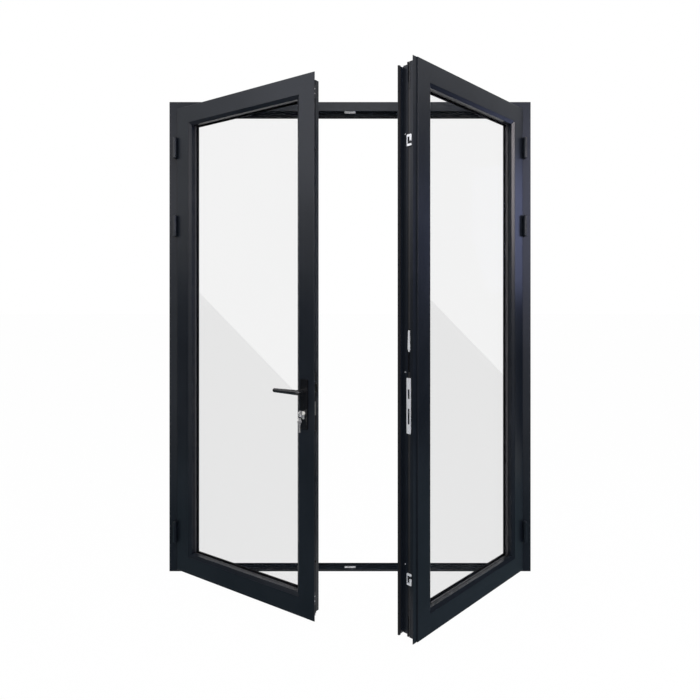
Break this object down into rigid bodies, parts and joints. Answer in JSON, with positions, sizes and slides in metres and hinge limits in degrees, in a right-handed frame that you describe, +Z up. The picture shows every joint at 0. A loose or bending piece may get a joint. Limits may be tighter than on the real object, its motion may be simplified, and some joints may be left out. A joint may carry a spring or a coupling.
{
  "type": "french doors",
  "caption": "Outward opening glazed french doors in a slim dark aluminium frame with a low threshold, standing open, with a lever handle, lock and flush bolts.",
  "frame": {"origin": "middle of the frame's underside", "axes": "X along the wall, -Y to the side that the leaves open to, Z up"},
  "size_m": [1.69, 0.6771, 2.195],
  "materials": {
    "coat": "satin powder coat",
    "handle": "satin",
    "rubber": "matte",
    "glass": "polished",
    "spacer": "matte",
    "brush": "matte",
    "caps": "matte",
    "inner_metal": "zinc plated",
    "rod": "anodised",
    "cleat": "mill",
    "steel": "satin",
    "nickel": "satin nickel"
  },
  "bodies": {
    "frame": {"left_jamb": "coat", "right_jamb": "coat", "frame_head": "coat", "threshold": "coat", "stop_seal": "rubber", "frame_cleats": "cleat", "left_frame_hinges": "coat", "right_frame_hinges": "coat", "hinge_pins": "coat", "head_keep": "steel", "threshold_keep": "steel"},
    "active_leaf": {"active_hinge_stile": "coat", "active_lock_stile": "coat", "active_top_rail": "coat", "active_bottom_rail": "coat", "active_panes": "glass", "active_spacer": "spacer", "active_beads": "coat", "active_glazing_seals": "rubber", "active_overlap_seal": "rubber", "active_brush": "brush", "active_cleats": "cleat", "active_hinges": "coat", "lock_case": "inner_metal", "lock_faceplate": "handle", "cylinder_body": "nickel", "handle_plate": "handle", "rosette": "handle"},
    "handle": {"lever": "handle", "spindle": "inner_metal"},
    "latch": {"latch_bolt": "inner_metal"},
    "dead": {"deadbolt": "inner_metal"},
    "upper_rod": {"upper_lock_rod": "rod"},
    "lower_rod": {"lower_lock_rod": "rod"},
    "key_set": {"cylinder_plug": "nickel", "key": "nickel", "key_ring": "nickel", "spare_key": "nickel"},
    "passive_leaf": {"passive_hinge_stile": "coat", "passive_meeting_stile": "coat", "passive_top_rail": "coat", "passive_bottom_rail": "coat", "passive_panes": "glass", "passive_spacer": "spacer", "passive_beads": "coat", "passive_glazing_seals": "rubber", "passive_overlap_seal": "rubber", "passive_brush": "brush", "passive_cleats": "cleat", "passive_hinges": "coat", "meeting_profile": "coat", "meeting_seals": "rubber", "end_caps": "caps", "strike_plate": "steel", "lock_keeps": "steel", "finger_case": "rod"},
    "finger": {"finger_lever": "steel"},
    "top_rod": {"top_bolt": "rod"},
    "bottom_rod": {"bottom_bolt": "rod"}
  },
  "joints": [
    {"name": "active_leaf_swing", "type": "hinge", "parent": "frame", "child": "active_leaf", "pos_m": [-0.814, -0.0489, 1.1], "axis": [0, 0, -1], "range_deg": [-33.8, 136.2]},
    {"name": "passive_leaf_swing", "type": "hinge", "parent": "frame", "child": "passive_leaf", "pos_m": [0.814, -0.0489, 1.1], "axis": [0, 0, 1], "range_deg": [-46.7, 123.3]},
    {"name": "handle_turn", "type": "hinge", "parent": "active_leaf", "child": "handle", "pos_m": [-0.16012, -0.44283, 0.908], "axis": [-0.5563, -0.831, 0], "range_deg": [0, 40], "stiffness_Nm_per_rad": 1.4, "springref_deg": -14.32},
    {"name": "latch_slide", "type": "slide", "parent": "active_leaf", "child": "latch", "axis": [-0.831, 0.5563, 0], "range_m": [0, 0.012]},
    {"name": "upper_rod_slide", "type": "slide", "parent": "active_leaf", "child": "upper_rod", "axis": [0, 0, -1], "range_m": [0, 0.016]},
    {"name": "lower_rod_slide", "type": "slide", "parent": "active_leaf", "child": "lower_rod", "axis": [0, 0, 1], "range_m": [0, 0.016]},
    {"name": "key_turn", "type": "hinge", "parent": "active_leaf", "child": "key_set", "pos_m": [-0.16012, -0.44283, 0.823], "axis": [0.5563, 0.831, 0], "range_deg": [0, 360]},
    {"name": "deadbolt_slide", "type": "slide", "parent": "active_leaf", "child": "dead", "axis": [0.831, -0.5563, 0], "range_m": [0, 0.016]},
    {"name": "finger_turn", "type": "hinge", "parent": "passive_leaf", "child": "finger", "pos_m": [0.22274, -0.62326, 1.08], "axis": [0.7278, -0.6858, 0], "range_deg": [0, 180]},
    {"name": "top_bolt_slide", "type": "slide", "parent": "passive_leaf", "child": "top_rod", "axis": [0, 0, 1], "range_m": [0, 0.024]},
    {"name": "bottom_bolt_slide", "type": "slide", "parent": "passive_leaf", "child": "bottom_rod", "axis": [0, 0, -1], "range_m": [0, 0.024]}
  ],
  "couplings": [
    {"joint": "latch_slide", "follows": "handle_turn", "m_per_rad": 0.017189},
    {"joint": "upper_rod_slide", "follows": "handle_turn", "m_per_rad": 0.022918},
    {"joint": "lower_rod_slide", "follows": "handle_turn", "m_per_rad": 0.022918},
    {"joint": "key_turn", "follows": "deadbolt_slide", "rad_per_m": 392.7},
    {"joint": "finger_turn", "follows": "top_bolt_slide", "rad_per_m": 130.9},
    {"joint": "bottom_bolt_slide", "follows": "top_bolt_slide", "ratio": 1}
  ]
}
